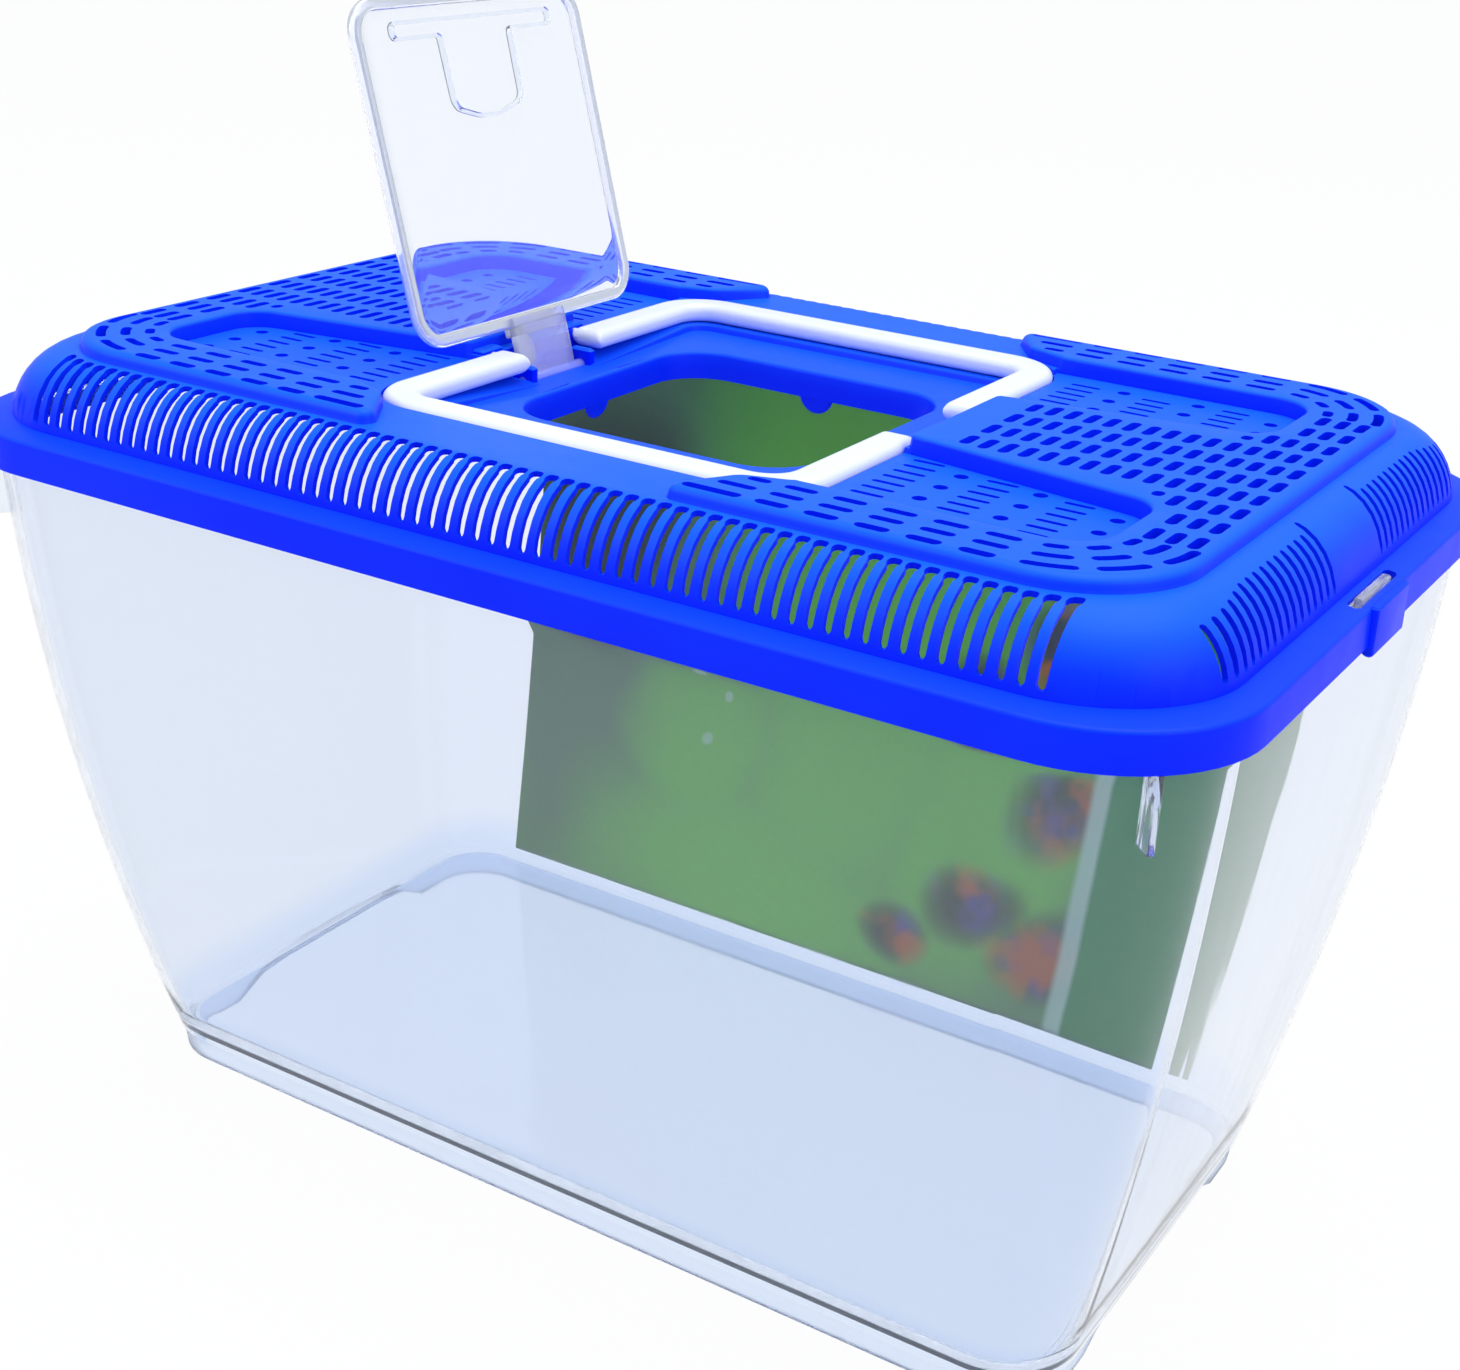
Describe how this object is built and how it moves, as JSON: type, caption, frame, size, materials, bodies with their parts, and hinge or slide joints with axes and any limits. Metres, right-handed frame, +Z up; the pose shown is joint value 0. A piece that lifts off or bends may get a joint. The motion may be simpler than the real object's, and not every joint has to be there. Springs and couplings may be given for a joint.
{
  "type": "carry aquarium",
  "caption": "Clear tapered tank under a vented lift-off lid with perforated panels, a clear hinged feeding hatch and a split folding carrying handle round it.",
  "frame": {"origin": "middle of the base, on the plane that the feet rest on", "axes": "+Z up, +X along the long side, away from the hatch's hinge; -Y towards the front, +Y towards the printed card"},
  "size_m": [0.3274, 0.2108, 0.2814],
  "materials": {
    "clear_plastic": "clear, glossy, faintly blue",
    "printed_card": "printed card, satin, blurred greens",
    "blue_plastic": "saturated blue, satin moulding",
    "white_plastic": "white, satin moulding",
    "clear_hatch": "clear, glossy, faintly lavender"
  },
  "bodies": {
    "base": {"tank": "clear_plastic", "backdrop_card": "printed_card"},
    "lid": {"lid": "blue_plastic"},
    "front_grip": {"front_grip": "white_plastic"},
    "back_grip": {"back_grip": "white_plastic"},
    "hatch": {"hatch": "clear_hatch"}
  },
  "joints": [
    {"name": "lid_lift", "type": "slide", "parent": "base", "child": "lid", "axis": [0, 0, 1], "range_m": [0, 0.08]},
    {"name": "front_grip_hinge", "type": "hinge", "parent": "lid", "child": "front_grip", "pos_m": [0, -0.0168, 0.1972], "axis": [-1, 0, 0], "range_deg": [0, 104]},
    {"name": "back_grip_hinge", "type": "hinge", "parent": "lid", "child": "back_grip", "pos_m": [0, 0.0168, 0.1972], "axis": [1, 0, 0], "range_deg": [0, 104]},
    {"name": "hatch_hinge", "type": "hinge", "parent": "lid", "child": "hatch", "pos_m": [-0.051, 0, 0.1915], "axis": [0, 1, 0], "range_deg": [0, 105.7]}
  ]
}
